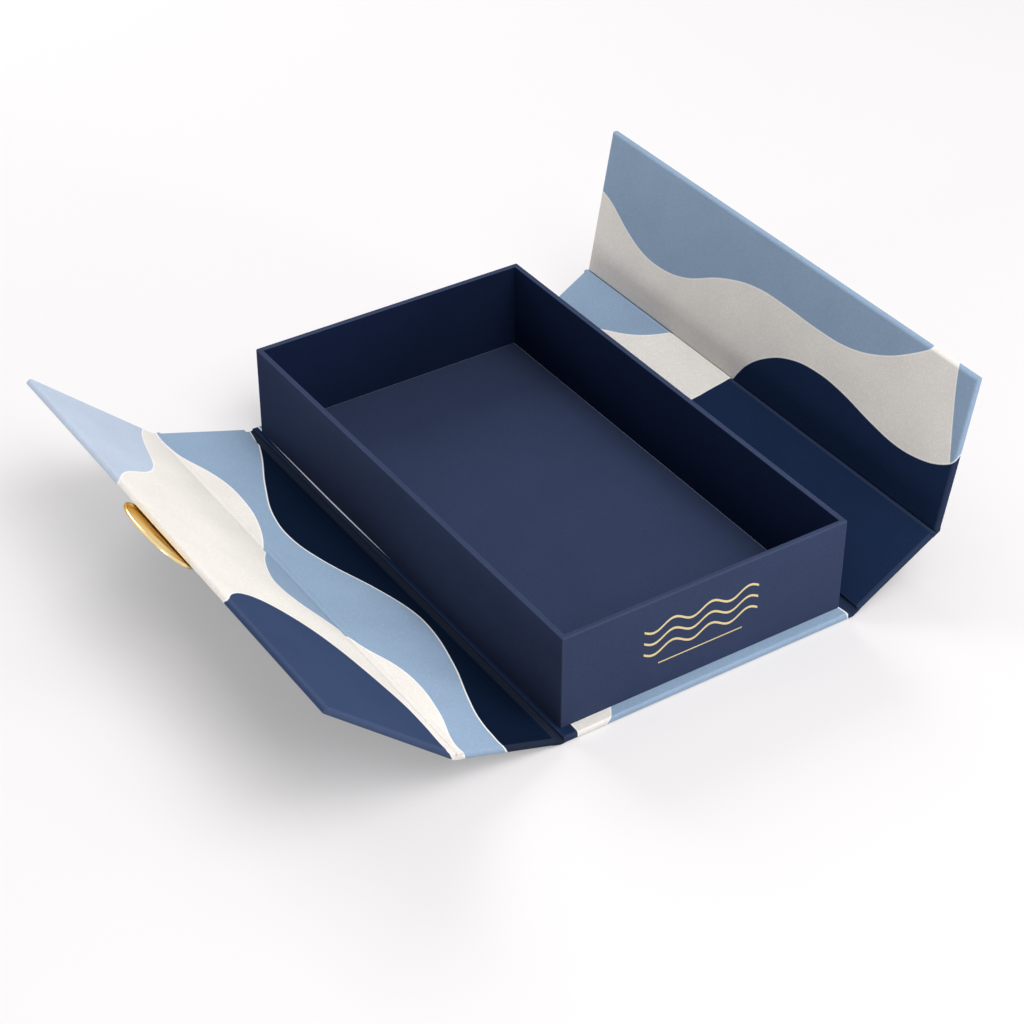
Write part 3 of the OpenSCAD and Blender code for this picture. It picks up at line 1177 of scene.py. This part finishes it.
@dataclass
class Clasp:
    """The gilt half-oval pull on the left door, pressed from sheet, with its two rivets."""

    finishes: Finishes
    steps: int = 120
    bead_mm: float = 0.9
    rings: int = 14
    bead_high_mm: float = 0.22
    groove_deep_mm: float = 0.2
    groove_sharpness: float = 9.0
    groove_fade: float = 6.0
    crown_mm: float = 0.7
    crown_rise: float = 2.4
    crown_fall: float = 1.5
    bead_steps: int = 4
    plate_edge_mm: float = 0.3
    head_edge_mm: float = 0.3
    head_steps: int = 40

    def build(self) -> None:
        """Builds the plate and the rivets and dresses the hidden magnets."""
        self.build_plate()
        self.build_rivets()
        dress_node("closure_magnets", self.finishes.nickel)

    def crown(self, point: Vector) -> float:
        """Gives the height of the pressed face above the plate's flat at a point.

        Args:
            point: The point in millimetres, with the free edge on X = -top_len.

        Returns:
            The height in millimetres.
        """
        s = SIZES
        across = (-point.x - s.top_len) / s.plate_reach
        along = point.y / (s.plate_l / 2)
        out = math.hypot(across, along)
        rim = (1 - out) * s.plate_reach
        if across <= 0 or rim <= 0:
            return 0.0
        if rim < self.bead_mm:
            return self.bead_high_mm * math.sin(math.pi * rim / self.bead_mm)
        inner = (rim - self.bead_mm) / (s.plate_reach - self.bead_mm)
        swell = self.crown_mm * math.sin(math.pi / 2 * min(1.0, inner * self.crown_rise))
        fall = math.sin(math.pi / 2 * min(1.0, across * self.crown_fall))
        dip = self.groove_deep_mm * math.exp(-((inner * self.groove_sharpness) ** 2))
        return swell * fall - dip * min(1.0, across * self.groove_fade)

    def build_plate(self) -> None:
        """Models the plate round the free edge's line and presses its face."""
        s = SIZES
        deselect_all()
        bpy.ops.mesh.primitive_circle_add(vertices=self.steps, radius=1.0, fill_type="NGON")
        piece = bpy.context.object
        piece.name = "clasp_shell"
        low, high = -s.plate_t * MM, -s.plate_lift * MM
        with editing(piece):
            bpy.ops.mesh.select_all(action="SELECT")
            bpy.ops.transform.translate(value=(0, 0, low))
            bpy.ops.mesh.extrude_region_move(TRANSFORM_OT_translate={"value": (0, 0, high - low)})
            bead = self.bead_mm / s.plate_reach
            for _ in range(self.bead_steps):
                bpy.ops.mesh.inset(thickness=bead / self.bead_steps)
            for _ in range(self.rings):
                bpy.ops.mesh.inset(thickness=(1 - bead) / (self.rings + 1))
            bpy.ops.mesh.poke()
            bpy.ops.mesh.select_all(action="SELECT")
            bpy.ops.transform.resize(
                value=(s.plate_reach * MM, s.plate_l / 2 * MM, 1), center_override=(0, 0, 0)
            )
            bpy.ops.transform.translate(value=(-s.top_len * MM, 0, 0))
        round_edges(
            piece, lambda ends: self.plate_edge_mm if all_at(ends, 2, -s.plate_t) else 0.0
        )
        for vertex in piece.data.vertices:
            if abs(vertex.co.z - high) < 1e-7:
                vertex.co.z += self.crown(vertex.co / MM) * MM
        finish_mesh(piece, 60.0)
        move_to(piece, at_top(Door.LEFT))
        dress(piece, self.finishes.gilt)
        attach(piece, "left_top")
        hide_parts("clasp_plate")
        LOG.info("%s rides on left_top", piece.name)

    def build_rivets(self) -> None:
        """Models one rivet head with a soft edge and copies it within the piece."""
        s = SIZES
        head = -(s.plate_t + s.rivet_head_t)
        place = Vector((-(s.top_len - s.rivet_set), -s.rivet_pitch / 2, head + s.rivet_head_t / 2))
        deselect_all()
        bpy.ops.mesh.primitive_cylinder_add(
            vertices=self.head_steps,
            radius=s.rivet_head_d / 2 * MM,
            depth=s.rivet_head_t * MM,
            location=place * MM,
        )
        piece = bpy.context.object
        piece.name = "clasp_rivet_heads"
        bpy.ops.object.transform_apply(location=True, rotation=True, scale=True)
        round_edges(piece, lambda ends: self.head_edge_mm if all_at(ends, 2, head) else 0.0)
        with editing(piece):
            bpy.ops.mesh.select_all(action="SELECT")
            bpy.ops.mesh.duplicate_move(
                TRANSFORM_OT_translate={"value": (0, s.rivet_pitch * MM, 0)}
            )
        finish_mesh(piece)
        move_to(piece, at_top(Door.LEFT))
        dress(piece, self.finishes.brass)
        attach(piece, "left_top")
        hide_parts("clasp_rivets")
        LOG.info("%s rides on left_top", piece.name)


# ---- studio


@dataclass
class Studio:
    """The pale table, the soft lamps and the camera of the product photograph."""

    camera_at: tuple[float, float, float] = (-0.39306, -0.58303, 0.51895)
    azimuth_deg: float = -33.28285
    elevation_deg: float = 36.21563
    roll_deg: float = 0.18897
    lens_mm: float = 85.927
    floor_size: float = 8.0
    floor_z: float = -0.0002
    floor_colour: str = "#c6c3c4"
    floor_glow: float = 0.3
    world_level: float = 0.3
    world_seen: float = 0.975
    lamp_distance: float = 1.5

    def build(self) -> None:
        """Builds the whole stage."""
        self.build_floor()
        self.build_world()
        self.build_lamps()
        self.build_camera()
        bpy.context.scene.view_settings.view_transform = "Standard"

    def build_floor(self) -> None:
        """Lays the pale table, a little brighter to the camera than its light makes it."""
        deselect_all()
        bpy.ops.mesh.primitive_plane_add(size=self.floor_size, location=(0, 0, self.floor_z))
        floor = bpy.context.object
        floor.name = "table"
        # A matt sweep that shows soft shadows and no mirror image.
        material, tree, shader = new_material("white table")
        shader.inputs["Base Color"].default_value = linear(self.floor_colour)
        shader.inputs["Roughness"].default_value = 0.9
        shader.inputs["Specular IOR Level"].default_value = 0.1
        shader.inputs["Emission Color"].default_value = linear("#ffffff")
        glow = calculate(tree, "MULTIPLY", self.seen_directly(tree), self.floor_glow)
        tree.links.new(glow, shader.inputs["Emission Strength"])
        floor.data.materials.append(material)

    def seen_directly(self, tree: Tree) -> Socket:
        """Gives 1 for camera, glossy and transmission rays, and otherwise 0."""
        path = add_node(tree, "ShaderNodeLightPath")
        camera, glossy, through = (
            path.outputs[f"Is {kind} Ray"] for kind in ("Camera", "Glossy", "Transmission")
        )
        return calculate(tree, "MAXIMUM", calculate(tree, "MAXIMUM", camera, glossy), through)

    def build_world(self) -> None:
        """Makes the white room, dimmer as a light than it looks."""
        world = bpy.data.worlds.new("white room")
        bpy.context.scene.world = world
        world.use_nodes = True
        tree = world.node_tree
        tree.nodes.clear()
        levels = (self.world_level, self.world_seen)
        strength = rescale(tree, self.seen_directly(tree), (0.0, 1.0), levels)
        inputs = {"Color": linear("#ffffff"), "Strength": strength}
        back = add_node(tree, "ShaderNodeBackground", inputs)
        add_node(tree, "ShaderNodeOutputWorld", {"Surface": back.outputs[0]})

    def build_lamps(self) -> None:
        """Hangs soft lamps round the table, each by its azimuth, elevation, size and power."""
        lamps = (
            ("near lamp", 270, 50, 0.8, 10.8),
            ("far lamp", 90, 32, 0.8, 11.8),
            ("overhead lamp", 300, 68, 0.8, 4.8),
            ("near right lamp", 315, 50, 0.8, 2.7),
            ("low front lamp", 300, 10, 0.3, 6.0),
            ("low left lamp", 180, 10, 0.3, 4.2),
        )
        for name, azimuth, elevation, size, power in lamps:
            around, up = math.radians(azimuth), math.radians(elevation)
            flat = math.cos(up)
            way = Vector((flat * math.cos(around), flat * math.sin(around), math.sin(up)))
            light = bpy.data.lights.new(name, "AREA")
            light.shape, light.size, light.energy = "SQUARE", size, power
            lamp = bpy.data.objects.new(name, light)
            lamp.location = way * self.lamp_distance
            lamp.rotation_euler = (-way).to_track_quat("-Z", "Y").to_euler()
            bpy.context.scene.collection.objects.link(lamp)

    def build_camera(self) -> None:
        """Sets the camera where the photograph was taken from."""
        data = bpy.data.cameras.new("camera")
        data.lens, data.sensor_width = self.lens_mm, 36.0
        data.clip_start, data.clip_end = 0.01, 50.0
        camera = bpy.data.objects.new("camera", data)
        place = Matrix.Translation(self.camera_at)
        turns = ((self.azimuth_deg, "Z"), (90 - self.elevation_deg, "X"), (self.roll_deg, "Z"))
        for degrees, axis in turns:
            place = place @ Matrix.Rotation(math.radians(degrees), 4, axis)
        camera.matrix_world = place
        bpy.context.scene.collection.objects.link(camera)
        bpy.context.scene.camera = camera


# ---- all


def main() -> None:
    """Builds the box, its finishes and its stage."""
    logging.basicConfig(level=logging.INFO, format="%(message)s")
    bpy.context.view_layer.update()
    finishes = Finishes()
    Studio().build()
    Case(finishes).build()
    Tray(finishes).build()
    Clasp(finishes).build()


if __name__ == "__main__":
    main()
